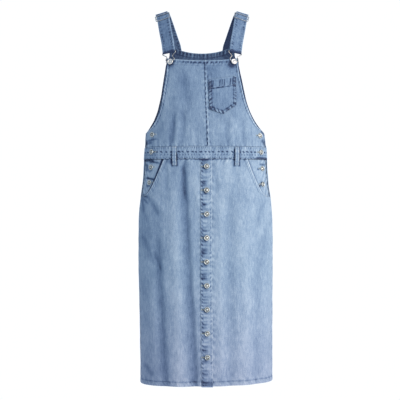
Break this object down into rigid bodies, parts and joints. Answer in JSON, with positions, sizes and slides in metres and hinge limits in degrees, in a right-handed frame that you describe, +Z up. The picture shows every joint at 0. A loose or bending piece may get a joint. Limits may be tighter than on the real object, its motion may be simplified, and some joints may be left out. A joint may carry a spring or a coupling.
{
  "type": "denim overall dress",
  "caption": "Sleeveless denim overall dress, filled out as worn: bib on buckled shoulder straps, waistband, slash pockets and a button-through midi skirt.",
  "frame": {"origin": "midway between the two shoulder crests, under the straps, where the wearer's shoulders hold it", "axes": "+Z up the dress, -Y out of its front, +X to the right of the front view"},
  "size_m": [0.4218, 0.2525, 1.1657],
  "materials": {
    "denim": "washed mid-blue twill, matt, paler on ridges and seams",
    "denim_under": "washed mid-blue twill, matt, a little darker where it lies under another layer",
    "button_nickel": "satin nickel with a worn, slightly coppery middle",
    "wire_nickel": "bright nickel plate"
  },
  "bodies": {
    "root": {"bib_front_left": "denim", "bib_front_right": "denim", "bib_back": "denim", "chest_pocket": "denim", "waistband_front": "denim", "waistband_back": "denim", "skirt_front_left": "denim", "skirt_front_right": "denim", "skirt_back": "denim", "button_band": "denim", "strap_left": "denim", "strap_right": "denim", "belt_loop_front_left": "denim", "belt_loop_front_right": "denim", "belt_loop_back_left": "denim", "belt_loop_back_centre": "denim", "belt_loop_back_right": "denim", "button_stand": "denim_under", "pocket_back_left": "denim_under", "pocket_back_right": "denim_under", "side_stand_left": "denim_under", "side_stand_right": "denim_under", "front_button_1": "button_nickel", "front_button_2": "button_nickel", "front_button_3": "button_nickel", "front_button_4": "button_nickel", "front_button_5": "button_nickel", "front_button_6": "button_nickel", "front_button_7": "button_nickel", "front_button_8": "button_nickel", "front_button_9": "button_nickel", "side_button_left_1": "button_nickel", "side_button_left_2": "button_nickel", "side_button_left_3": "button_nickel", "side_button_left_4": "button_nickel", "side_button_right_1": "button_nickel", "side_button_right_2": "button_nickel", "side_button_right_3": "button_nickel", "side_button_right_4": "button_nickel", "bib_button_left": "button_nickel", "bib_button_right": "button_nickel", "buckle_left": "wire_nickel", "buckle_right": "wire_nickel", "strap_slider_left": "wire_nickel", "strap_slider_right": "wire_nickel"}
  },
  "joints": []
}
